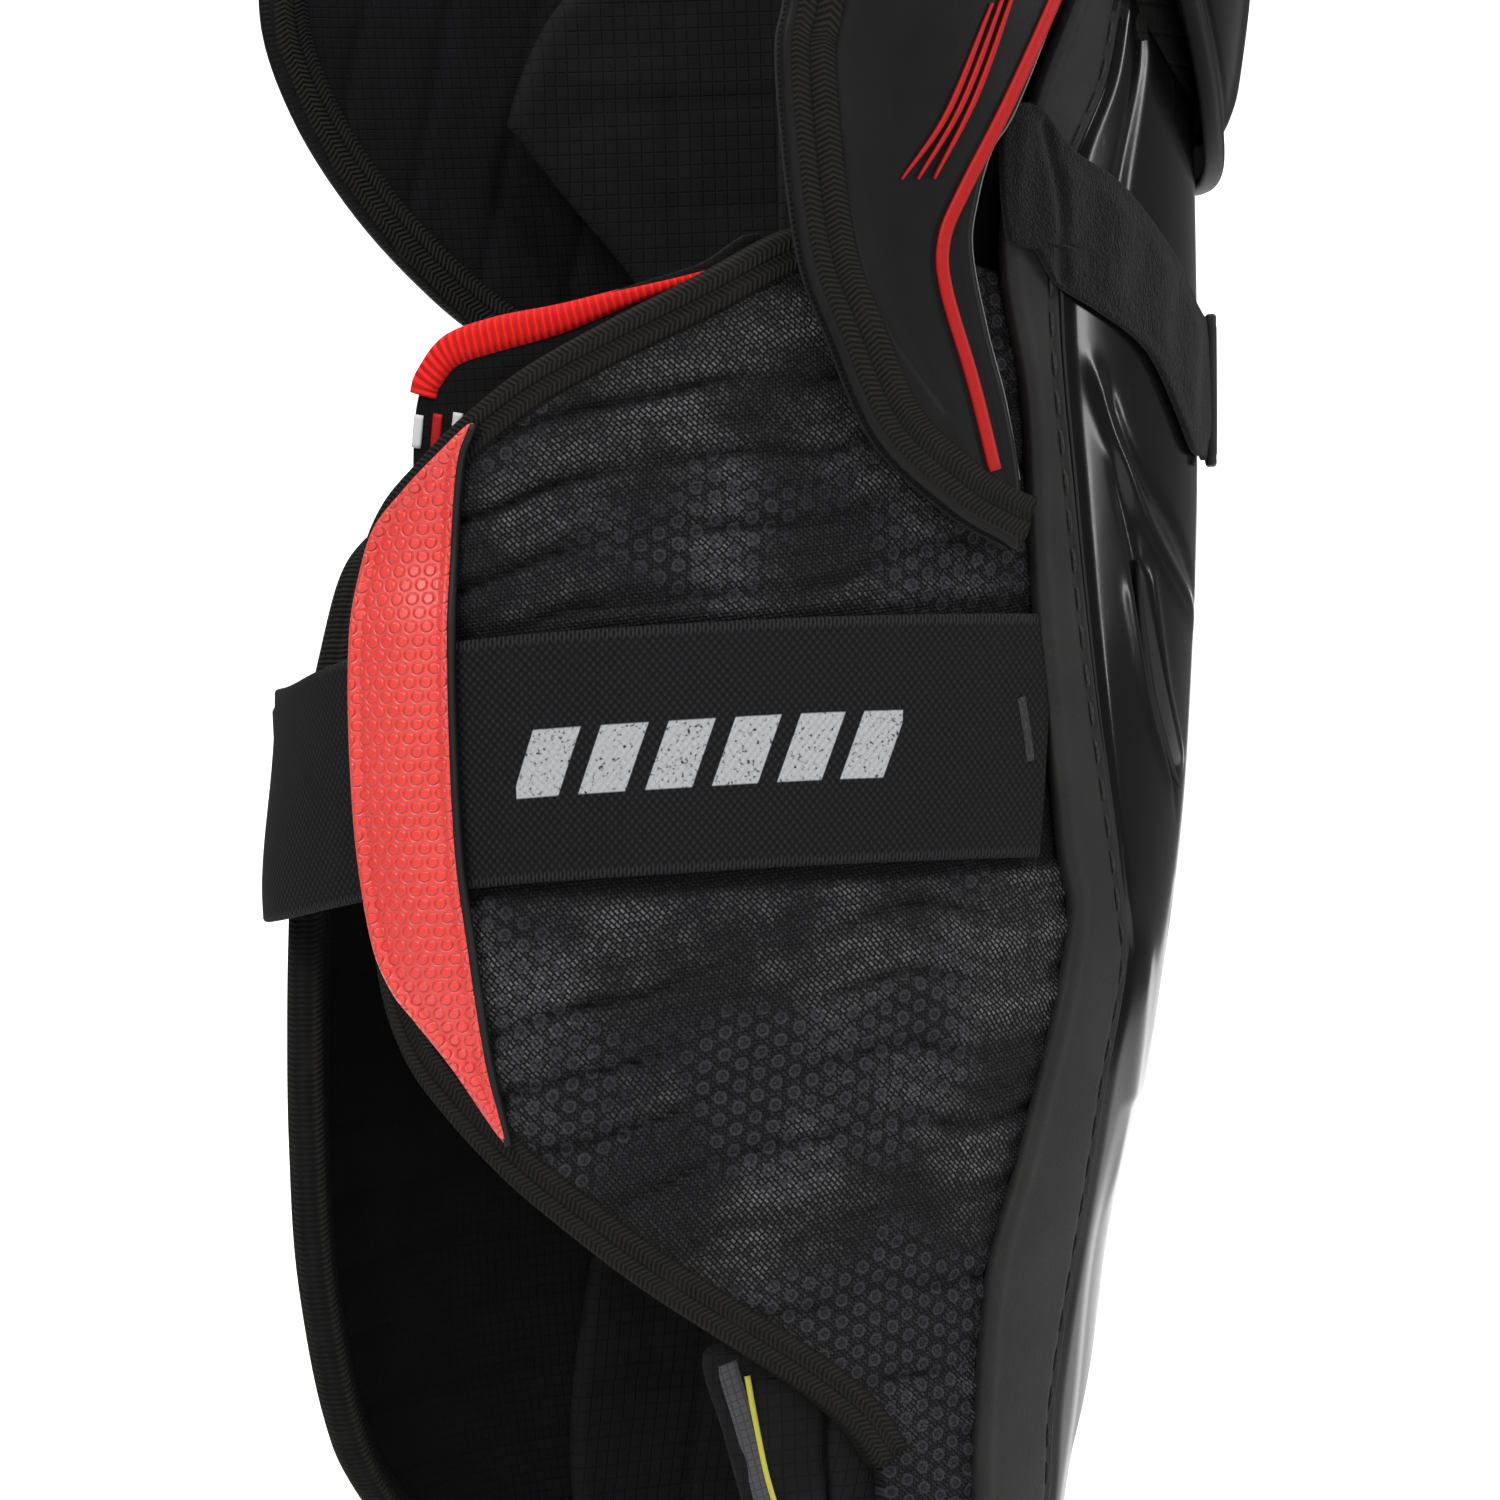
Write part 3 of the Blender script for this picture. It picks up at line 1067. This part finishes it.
def knee_wing_lateral():
    body = "lateral_knee_wing"
    loop = smooth_loop(polar(WING_FRONT + WING_TOP + WING_REAR), 6)

    def relief(arc, z, near):
        line = polar([(87.5, 150), (89.6, 139.4), (89.5, 123.9), (88.0, 100.6), (85.2, 84.8), (79.0, 69.0)])
        distance, _ = path_distance(np.stack([arc.ravel(), z.ravel()], -1), smooth_path(line, 3))
        lip = groove(distance.reshape(arc.shape) + 0.2, 1.2, 0.5)
        return lip + 0.9 * smooth01(near, 3, 26) + 0.5 * np.exp(-((near - 1.5) / 1.2) ** 2)

    panel("knee_wing_plate_near", loop, 1, 20.6, 22.9, body, PLATE, rows=200, columns=64, edge=1.1,
          drop=0.4, relief=relief, replaces=["knee_wing_plate_lateral"], slot="matte_plate")
    foam = panel("knee_wing_pad_near", loop, 1, 17.5, 20.7, body, FOAM, rows=120, columns=40, edge=2.2,
                 drop=0.35, replaces=["knee_wing_foam_lateral"], slot="foam")
    path = smooth_path(polar(WING_TOP[2:] + WING_REAR + [(69.0, 40.6)]), 1.3)[::-1]
    tape("knee_wing_edge_near", path, 1, lap_profile(10.6, 17.9, 23.5, bulge=0.7), body, WING_BINDING,
         replaces=["knee_wing_binding_lateral"], slot="binding")
    front = smooth_path(polar(WING_FRONT[1:]), 1.3)
    strip("knee_wing_cut_edge", front + np.array([0.1, 0]), 1, 0.6, 21.6, 22.75, body, WHITE_EDGE,
          slot="matte_plate")
    strip("knee_wing_red_strip", front + np.array([-0.3, 0]), 1, 1.3, 18.2, 21.1, body, RED_PRINT,
          slot="red_piping")
    stripe = smooth_path(polar([(57.5, 162), (61.9, 148.8), (68.9, 129.1), (75.5, 111.7), (78.4, 102.0),
                                (78.4, 92.2), (75.4, 74.2), (72.7, 56.3)]), 1.3)
    strip("knee_wing_stripe", stripe, 1, 2.6, 22.9, 23.95, body, RED_PRINT, slot="red_piping")
    for k in range(3):
        pin = smooth_path(polar([(63.0, 154 - 3 * k), (69.3, 131 - 2 * k), (75.5, 114)]), 1.5)
        taper = 0.4 + 0.6 * np.sin(np.linspace(0, np.pi, len(pin)))
        strip("knee_wing_pinstripe_%d" % k, pin + np.array([6.5 + 3.4 * k, 0]), 1, 1.1, 23.0, 24.05, body,
              RED_PRINT, taper, slot="red_piping")


def knee_wing_medial():
    body = "medial_knee_wing"
    outline = [(-43, 149), (-32, 127), (-26, 119), (-21.5, 110), (-20, 100), (-23, 84), (-27, 70),
               (-30.5, 54), (-31, 41), (-25, 41), (-12, 50), (6, 66), (24, 83), (44, 99), (62, 118),
               (76, 140), (82, 162), (76, 184), (54, 200), (16, 208), (-34, 208), (-52, 200), (-54, 178)]
    loop = smooth_loop(flat(outline, 21.0), 6)
    panel("knee_wing_plate_far", loop, -1, 20.7, 23.0, body, PLATE, rows=150, columns=90, edge=1.1,
          drop=0.4, relief=lambda a, z, n: 0.9 * smooth01(n, 3, 26),
          replaces=["knee_wing_plate_medial"], slot="matte_plate")

    def quilt(arc, z, near):
        channels = groove(np.sin((arc + 0.35 * z) * 0.15) * 6.6, 1.6, -0.9)
        return channels - 1.3 * smooth01(near, 6, 30)

    foam = panel("knee_wing_pad_far", loop, -1, 17.9, 20.8, body, LINER_DARK, rows=150, columns=90, edge=3.4,
                 drop=0.35, inner_relief=quilt, replaces=["knee_wing_foam_medial"], slot="foam")
    path = smooth_path(flat(outline[8:22], 21.0), 1.4)
    tape("knee_wing_edge_far", path, -1, lap_profile(9.0, 17.4, 23.7, bulge=0.6), body, WING_BINDING,
         replaces=["knee_wing_binding_medial"], slot="binding")


# --- knee cup and thigh flap
def front_band(name, low, high, reach, inner, outer, body, material, rows=90, columns=150, edge=3.0, drop=0.4,
               relief=None, **more):
    """Panel across the front: low and high are heights as functions of how far round, -1 to 1."""
    c = np.linspace(-1, 1, columns)[None, :]
    t = np.linspace(0, 1, rows)[:, None]
    c = 0.75 * c + 0.25 * np.sin(c * math.pi / 2)
    t = 0.6 * t + 0.4 * (1 - np.cos(math.pi * t)) / 2
    z = low(c) + (high(c) - low(c)) * t
    angle = reach(z) * c if callable(reach) else reach * c
    arc = signed_arc(angle, z)
    near = np.minimum(np.minimum(t, 1 - t) * (high(c) - low(c)), (1 - np.abs(c)) * np.abs(arc[:, -1:]))
    din, dout = table(inner, z), table(outer, z)
    half = (dout - din) / 2 * (1 - drop + drop * crowned(near, edge))
    out, inn = (dout + din) / 2 + half, (dout + din) / 2 - half
    if relief is not None:
        out = out + relief(arc, z, near, c)
    return stitch_faces(name, surface(angle, z, out), surface(angle, z, inn), np.stack([arc, z], -1), body,
                        material, **more)


def cup_low(c):
    return 113.2 + 62 * np.abs(c) ** 2.5


def cup_high(c):
    return 249.0 - 22 * np.abs(c) ** 3.0


def cup_reach(z):
    return angle_of(np.full(np.shape(z), -66.0), z, 28.0)


def knee_cup():
    """Dome over the kneecap, its lip, its pad and the fabric that hinges the thigh flap."""
    def relief(arc, z, near, c):
        out = 0.6 * smooth01(near, 2, 16)
        out += 1.1 * np.exp(-((np.abs(arc) - 30 - (z - 180) * 0.12) / 3.4) ** 2) * smooth01(near, 4, 14)
        out += groove(np.abs(arc) - 22 - (z - 180) * 0.10, 1.6, 0.7) * smooth01(near, 6, 16)
        out += groove(near - 7.5, 1.1, 0.4)
        return out

    outer = {z: d - 0.2 for z, d in CUP_OUTSIDE.items()}
    inner = {z: d - 3.0 for z, d in CUP_OUTSIDE.items()}
    front_band("knee_cup_dome", cup_low, cup_high, cup_reach, inner, outer, "knee_cup", GLOSS, 150, 190,
               1.4, 0.3, relief, replaces=["knee_cup"], slot="gloss_shell")
    lip_top = lambda c: cup_low(c) + 2.6
    lip_low = lambda c: cup_low(c) - 0.6
    lip_in = {z: d - 3.4 for z, d in CUP_OUTSIDE.items()}
    lip_out = {z: d + 1.0 for z, d in CUP_OUTSIDE.items()}
    front_band("knee_cup_lip_roll", lip_low, lip_top, cup_reach, lip_in, lip_out, "knee_cup", RUBBER, 12, 170,
               1.4, 0.5, replaces=["knee_cup_lip"], slot="tab")
    foam_in = {z: max(d - 12, 17.4) for z, d in CUP_OUTSIDE.items()}
    foam_out = {z: d - 3.2 for z, d in CUP_OUTSIDE.items()}
    foam = front_band("knee_cup_pad", lambda c: cup_low(c) + 12, lambda c: cup_high(c) - 4,
                      lambda z: cup_reach(z) - 4, foam_in, foam_out, "knee_cup", LINER, 60, 90, 4, 0.4,
                      replaces=["knee_cup_foam"], slot="foam")
    web = front_band("flap_hinge_fabric", lambda c: 226 + 0 * c, lambda c: 262.0 + 0 * c, 59, 15.6, 17.6,
                     None, PLAIN_BINDING, 60, 90, 1.2, 0.4, replaces=["flap_hinge_web"], slot="binding")
    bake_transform(web)


def thigh_flap():
    """Plate, pad and bound edge of the flap above the knee."""
    low = lambda c: 252.4 + 5.0 * np.abs(c) ** 6
    high = lambda c: 299.4 - 13.0 * np.abs(c) ** 4
    reach = 61.0
    body = "thigh_flap"
    inner_low = lambda c: low(c) + 3.2
    inner_high = lambda c: high(c) - 3.2

    def ribs(arc, z, near, c):
        out = 0.7 * smooth01(near, 2, 9)
        for at in (-44, -22, 22, 44):
            out = out + groove(arc - at, 1.4, 0.9) * smooth01(near, 4, 8)
        return out

    front_band("thigh_flap_shell", inner_low, inner_high, reach - 2.5, 20.7, 23.0, body, GLOSS, 60, 150,
               1.2, 0.3, ribs, replaces=["thigh_flap_plate"], slot="gloss_shell")
    foam = front_band("thigh_flap_pad", low, high, reach, 14.8, 20.6, body, LINER, 50, 100, 3.5, 0.4,
                      replaces=["thigh_flap_foam"], slot="liner_knit")
    c = np.linspace(-1, 1, 90)
    upper = [(reach * k, float(high(np.array(k)))) for k in c]
    lower = [(reach * k, float(low(np.array(k)))) for k in c[::-1]]
    ring = np.array(upper + lower)
    per_degree = 1.7  # millimetres round the flap for each degree
    points = []
    for i in range(len(ring)):
        before, after = ring[i - 1], ring[(i + 1) % len(ring)]
        step = np.array([(after[0] - before[0]) * per_degree, after[1] - before[1]])
        step = step / np.linalg.norm(step)
        inward = np.array([step[1] / per_degree, -step[0]])
        points.append((ring[i], inward))
    section = []
    for k in range(9):
        section.append((6.0 - 5.2 * k / 8, 23.6 + 0.35 * math.sin(math.pi * k / 8)))
    section += [(-0.3, 22.5), (-0.7, 20.0), (-0.3, 17.0), (0.8, 15.4), (6.0, 14.7), (6.0, 15.3)]
    verts, uvs = [], []
    for i, (place, inward) in enumerate(points):
        for w, d in section:
            verts.append(surface(place[0] + inward[0] * w, place[1] + inward[1] * w, d))
            uvs.append((i * 2.4, w))
    make_object("thigh_flap_edge", verts, tube_faces(len(points), len(section), closed=True), uvs, body,
                PLAIN_BINDING, replaces=["thigh_flap_binding"], slot="binding")


def knee_pads():
    """Ring pad behind the kneecap and the web that carries the cup."""
    ring_low = lambda c: 126 + 27 * np.abs(c) ** 3
    ring_high = lambda c: 233 - 14 * np.abs(c) ** 3

    rows, columns = 90, 130
    c = np.linspace(-1, 1, columns)[None, :]
    t = np.linspace(0, 1, rows)[:, None]
    z = ring_low(c) + (ring_high(c) - ring_low(c)) * t
    angle = 64 * c
    arc = signed_arc(angle, z)
    near = np.minimum(np.minimum(t, 1 - t) * 95, (1 - np.abs(c)) * 80)
    eye = np.hypot(arc, z - 186)
    pit = 5.6 * (1 - smooth01(eye, 19, 27))
    rows_of_quilting = groove(np.sin(z * 0.16) * 6.2, 1.6, -0.8) * (1 - smooth01(-eye, -52, -46))
    half = 4.0 * (0.45 + 0.55 * crowned(near, 5))
    inn = 9.1 - half + pit + groove(eye - 41, 2.0, -1.4) + rows_of_quilting
    made = stitch_faces("knee_ring_cushion", surface(angle, z, 9.1 + half), surface(angle, z, inn),
                        np.stack([arc, z], -1), "guard_body", LINER, replaces=["knee_ring_pad"],
                        slot="liner_knit")
    front_band("cup_hinge_fabric", lambda c: 129.5 + 27 * np.abs(c) ** 2.2, lambda c: 178.5 + 0 * c, 57,
               13.7, 16.7, "guard_body", PLAIN_BINDING, 24, 100, 1.5, 0.4, replaces=["cup_hinge_web"],
               slot="binding")


# --- liner, foam and ankle
LINER_FOOT = -203.2


def liner():
    """Quilted liner against the leg. Its medial edge follows what shows past the near side."""
    def lateral_end(z):
        return angle_of(np.interp(z, [-205, -150, 60, 150], [9, 12, 13, 12]), z, 6.2)

    def medial_end(z):
        ys = table({-205: 31, -150: 35, -60: 13, 40: 7, 70: -3, 95: -1, 125: 21, 150: 39, 180: 47}, z)
        return angle_of(ys, z, 6.2)

    rows, columns = 230, 190
    t = np.linspace(0, 1, rows)[:, None]
    mix = np.linspace(0, 1, columns)[None, :]
    z = -199 + (170 + 199) * t + 0 * mix
    for _ in range(6):
        start = -medial_end(z[:, :1])
        end = lateral_end(z[:, -1:])
        angle = start + (end - start) * mix
        corner = 34 * np.clip((np.abs(2 * mix - 1) - 0.8) / 0.2, 0, 1) ** 2.2
        top = 124 + 46 * smooth01(np.abs(angle), 38, 70) - corner
        low = LINER_FOOT + 5 * np.clip(np.abs(angle) / 95, 0, 1) ** 2
        z = low + (top - low) * t
    arc = signed_arc(angle, z)
    near = np.minimum(np.minimum(t, 1 - t) * 330, np.minimum(mix, 1 - mix) * 250)
    half = 2.8 * (0.4 + 0.6 * crowned(near, 4))
    channels = (groove(np.sin(z * 0.135) * 7.4, 1.7, -0.9)
                + groove(np.sin((arc + 4) * 0.105) * 9.5, 1.7, -0.7))
    folds = 0.5 * np.sin(arc * 0.11 + z * 0.045) + 0.4 * np.sin(z * 0.075 - arc * 0.05)
    inn = 3.4 - half + channels * smooth01(near, 3, 10) + folds * smooth01(near, 6, 20)
    made = stitch_faces("shin_liner_quilted", surface(angle, z, 3.4 + half), surface(angle, z, inn),
                        np.stack([arc, z], -1), "guard_body", LINER, replaces=["shin_liner"],
                        slot="liner_knit")


def shin_foam():
    """Foam between the shell and the liner."""
    t = np.linspace(0, 1, 200)[:, None]
    mix = np.linspace(-1, 1, 110)[None, :]
    z = LINER_FOOT + (118 - LINER_FOOT) * t + 0 * mix
    angle = angle_of(table(RIM_STITCH, z) - 1.5, z, 12.8) * mix
    near = np.minimum(np.minimum(t, 1 - t) * 318, (1 - np.abs(mix)) * 60)
    half = 3.0 * (0.4 + 0.6 * crowned(near, 4))
    foam = stitch_faces("shin_pad_foam", surface(angle, z, 9.9 + half), surface(angle, z, 9.9 - half),
                        np.stack([signed_arc(angle, z), z], -1), "guard_body", FOAM, replaces=["shin_foam"],
                        slot="foam")


def ankle_fold():
    """Fold of the liner that shows at the ankle, with its light edge and printed line."""
    flap = smooth_loop(flat([(14, -118), (24, -116), (38, -117), (34, -135), (29, -155), (25, -190),
                             (16, -194), (12, -180), (13, -150)], 6.2), 5)
    fold = panel("ankle_liner_fold", flap, 1, 0.8, 6.3, "guard_body", LINER, rows=80, columns=26, edge=2.6,
                 drop=0.5, relief=lambda a, z, n: 0.5 * np.sin(z * 0.23 + a * 0.2),
                 replaces=["ankle_liner_flap"], slot="liner_knit")
    rail = smooth_path(flat([(36, -119), (31.5, -136), (27, -156), (24, -188)], 6.2), 1.5)
    strip("ankle_liner_light_edge", rail + np.array([-2.0, 0]), 1, 4.6, 5.9, 6.9, "guard_body", LINER_LIGHT,
          slot="liner_knit")
    line = smooth_path(flat([(30, -122), (27, -140), (22, -160), (20, -185)], 6.2), 1.5)
    strip("ankle_liner_yellow_line", line, 1, 1.3, 6.2, 7.1, "guard_body", YELLOW_PRINT, slot="liner_knit")


def ankle_roll():
    """Padded roll round the bottom edge."""
    low = lambda c: -212.8 + 1.5 * np.abs(c) ** 4
    high = lambda c: -203.6 + 1.0 * np.abs(c) ** 4
    front_band("ankle_roll_edge", low, high, lambda z: angle_of(np.full(np.shape(z), -23.0), z, 15.0), 3.0,
               16.2, "guard_body", PLAIN_BINDING, 26, 110, 4.4, 0.75, replaces=["ankle_roll"], slot="binding")


# --- knee strap
def knee_strap():
    upper = [(67.4, 127.4), (62.6, 128.2), (57.3, 119.6), (49.1, 113.4), (40.1, 103.6), (33, 96),
             (27.6, 89.3)]
    lower = [(28.6, 58.6), (34.6, 66.6), (43.1, 79.1), (53.6, 87.4), (60.5, 92.7), (64.2, 100.2),
             (67.9, 102.0)]
    loop = smooth_loop(polar([(68.6, 115)] + upper + [(22, 86), (17.5, 83), (17.5, 58), (23, 57)] + lower), 6)

    def relief(arc, z, near):
        crease = polar([(62, 124), (60.5, 112), (60.2, 100), (60.0, 94)])
        distance, _ = path_distance(np.stack([arc.ravel(), z.ravel()], -1), smooth_path(crease, 3))
        wave = 0.5 * np.sin(arc * 0.35 + z * 0.12) * smooth01(near, 2, 7)
        return groove(distance.reshape(arc.shape), 1.6, 1.0) + wave + 0.5 * smooth01(near, 1, 6)

    body = "knee_strap"
    made = panel("knee_strap_loop_band", loop, 1, 17.4, 19.3, None, PILE, rows=120, columns=90, edge=1.5,
                 drop=0.45, relief=relief, replaces=["knee_strap"], slot="loop_pile")
    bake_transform(made)
    tab = smooth_loop(polar([(19.2, 86.5), (14.5, 86), (13.2, 82), (13.2, 60), (14.5, 55), (19.4, 54.6),
                             (20.6, 58), (20.6, 83)]), 5)
    panel("knee_strap_end_tab", tab, 1, 18.6, 21.0, body, RUBBER, rows=60, columns=20, edge=1.4, drop=0.5,
          relief=lambda a, z, n: groove(n - 1.9, 0.5, 0.35), replaces=["knee_strap_tab"], slot="tab")


shell()
for sign, word in SIDES:
    rim(sign, word)
calf_fabric_lateral()
calf_strap()
keeper()
lining_band()
medial_calf()
knee_wing_lateral()
knee_wing_medial()
knee_cup()
thigh_flap()
knee_pads()
liner()
shin_foam()
ankle_fold()
ankle_roll()
knee_strap()

# ---------------------------------------------------------------- floor, light and camera
VIEW = math.radians(20)
AWAY = Vector((math.cos(VIEW), -math.sin(VIEW), 0))
ACROSS = Vector((math.sin(VIEW), math.cos(VIEW), 0))


def stage():
    size = 0.56
    mesh = bpy.data.meshes.new("studio_floor")
    verts, faces = [], []
    steps = 24
    profile = [(-0.55, 0.0), (1.4, 0.0)]
    for k in range(1, steps + 1):
        a = math.pi / 2 * k / steps
        profile.append((1.4 + 1.2 * math.sin(a), 1.2 - 1.2 * math.cos(a)))
    profile.append((2.6, 4.5))
    for distance, height in profile:
        for s in (-size, size):
            p = AWAY * distance + ACROSS * s
            verts.append((p.x, p.y, height + FLOOR))
    for k in range(len(profile) - 1):
        faces.append((2 * k, 2 * k + 1, 2 * k + 3, 2 * k + 2))
    mesh.from_pydata(verts, [], faces)
    mesh.polygons.foreach_set("use_smooth", np.ones(len(mesh.polygons), bool))
    obj = bpy.data.objects.new("studio_floor", mesh)
    bpy.context.scene.collection.objects.link(obj)
    white = bpy.data.materials.new("studio_white")
    white.use_nodes = True
    shader = white.node_tree.nodes["Principled BSDF"]
    shader.inputs["Base Color"].default_value = (0.86, 0.86, 0.86, 1)
    shader.inputs["Roughness"].default_value = 0.9
    mesh.materials.append(white)


def light(name, place, aim, size, power, tall=None):
    data = bpy.data.lights.new(name, "AREA")
    data.energy = power
    data.shape = "RECTANGLE"
    data.size = size
    data.size_y = tall or size
    obj = bpy.data.objects.new(name, data)
    bpy.context.scene.collection.objects.link(obj)
    obj.location = place
    obj.rotation_euler = (Vector(aim) - Vector(place)).to_track_quat("-Z", "Y").to_euler()


def studio():
    world = bpy.data.worlds.new("studio")
    bpy.context.scene.world = world
    world.use_nodes = True
    nodes, links = world.node_tree.nodes, world.node_tree.links
    dim = nodes["Background"]
    dim.inputs[0].default_value = (1, 1, 1, 1)
    dim.inputs[1].default_value = 0.16
    seen = nodes.new("ShaderNodeBackground")
    seen.inputs[0].default_value = (1, 1, 1, 1)
    seen.inputs[1].default_value = 1.0
    choice = nodes.new("ShaderNodeMixShader")
    links.new(nodes.new("ShaderNodeLightPath").outputs["Is Camera Ray"], choice.inputs[0])
    links.new(dim.outputs[0], choice.inputs[1])
    links.new(seen.outputs[0], choice.inputs[2])
    links.new(choice.outputs[0], nodes["World Output"].inputs["Surface"])
    light("key", (-1.1, 1.25, 1.15), (0, 0.02, 0.02), 0.9, 30)
    light("front_strip", (-0.55, -1.35, 0.40), (0, -0.05, 0.0), 0.15, 8, 1.2)
    light("top_strip", (-0.9, -0.25, 1.3), (0, -0.05, 0.05), 0.5, 9, 0.5)
    light("fill", (-1.7, 0.0, 0.0), (0, 0, 0), 1.2, 5)
    light("backdrop", AWAY * 0.9 + Vector((0, 0, 1.9)), AWAY * 2.4 + Vector((0, 0, 0.4)), 2.5, 95)


def camera():
    """Tele view of the middle of the guard, from the lateral side and a little behind."""
    turn, tip, roll = VIEW, math.radians(3), math.radians(2.9)
    distance, frame_width = 1.150, 0.3153
    look = Vector((math.cos(turn) * math.cos(tip), -math.sin(turn) * math.cos(tip), -math.sin(tip)))
    right = Vector((-math.sin(turn), -math.cos(turn), 0))
    up = right.cross(look)
    target = right * -0.0026
    tilted_right = right * math.cos(roll) - up * math.sin(roll)
    tilted_up = right * math.sin(roll) + up * math.cos(roll)
    data = bpy.data.cameras.new("camera")
    data.sensor_width = 36
    data.lens = 36 * distance / frame_width
    data.clip_start = 0.05
    data.clip_end = 50
    obj = bpy.data.objects.new("camera", data)
    bpy.context.scene.collection.objects.link(obj)
    place = target - look * distance
    rows = Matrix((tilted_right, tilted_up, -look)).transposed().to_4x4()
    obj.matrix_world = Matrix.Translation(place) @ rows
    bpy.context.scene.camera = obj


FLOOR = min(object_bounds()[0][2], CAD_BOX[0][2]) - 0.0005
stage()
studio()
camera()
bpy.context.scene.view_settings.view_transform = "Standard"
